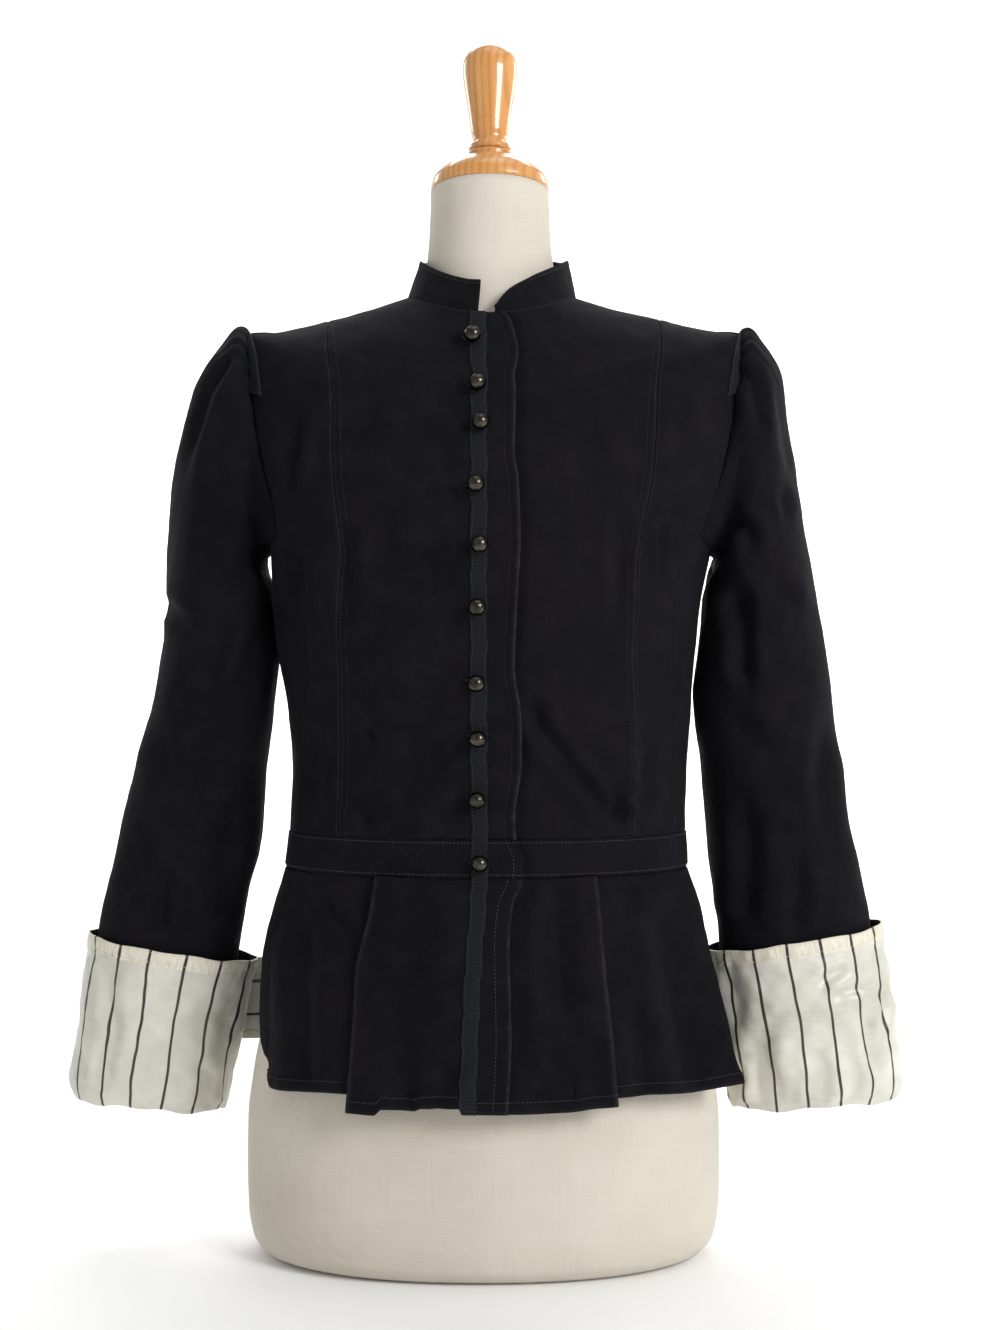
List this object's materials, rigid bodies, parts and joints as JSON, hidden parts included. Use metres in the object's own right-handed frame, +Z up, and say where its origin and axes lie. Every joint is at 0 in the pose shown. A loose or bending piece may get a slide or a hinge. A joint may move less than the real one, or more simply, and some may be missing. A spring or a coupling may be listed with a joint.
{
  "type": "military-style jacket on limbless dress form",
  "caption": "Fitted jacket with stand collar, ball buttons, gathered sleeve heads, striped turn-back cuffs and pleated peplum, on a linen dress form with a turned wooden neck finial.",
  "frame": {"origin": "centre of the form's flat underside", "axes": "+Z up along the form; the jacket's front faces -Y; +X is the viewer's right, which is the wearer's left"},
  "size_m": [0.6715, 0.2926, 0.9479],
  "materials": {
    "black_cotton_twill": "matte, fine diagonal weave",
    "slate_grosgrain": "matte, cross-ribbed",
    "striped_satin_lining": "satin, dark pinstripes",
    "natural_linen": "matte, plain weave",
    "varnished_beech": "gloss varnish",
    "antiqued_metal": "antiqued, half gloss"
  },
  "bodies": {
    "root": {"back": "black_cotton_twill", "button_01": "antiqued_metal", "button_02": "antiqued_metal", "button_03": "antiqued_metal", "button_04": "antiqued_metal", "button_05": "antiqued_metal", "button_06": "antiqued_metal", "button_07": "antiqued_metal", "button_08": "antiqued_metal", "button_09": "antiqued_metal", "button_10": "antiqued_metal", "collar": "black_cotton_twill", "cuff_left": "striped_satin_lining", "cuff_right": "striped_satin_lining", "cuff_tab_right": "striped_satin_lining", "form_cap": "varnished_beech", "form_finial": "varnished_beech", "form_torso": "natural_linen", "front_left": "black_cotton_twill", "front_ribbon": "slate_grosgrain", "front_right": "black_cotton_twill", "peplum_back": "black_cotton_twill", "peplum_front_left": "black_cotton_twill", "peplum_front_right": "black_cotton_twill", "shoulder_tape_left": "slate_grosgrain", "shoulder_tape_right": "slate_grosgrain", "side_back_left": "black_cotton_twill", "side_back_right": "black_cotton_twill", "side_front_left": "black_cotton_twill", "side_front_right": "black_cotton_twill", "side_left": "black_cotton_twill", "side_right": "black_cotton_twill", "sleeve_left": "black_cotton_twill", "sleeve_right": "black_cotton_twill", "waistband_back": "black_cotton_twill", "waistband_left": "black_cotton_twill", "waistband_right": "black_cotton_twill"}
  },
  "joints": []
}
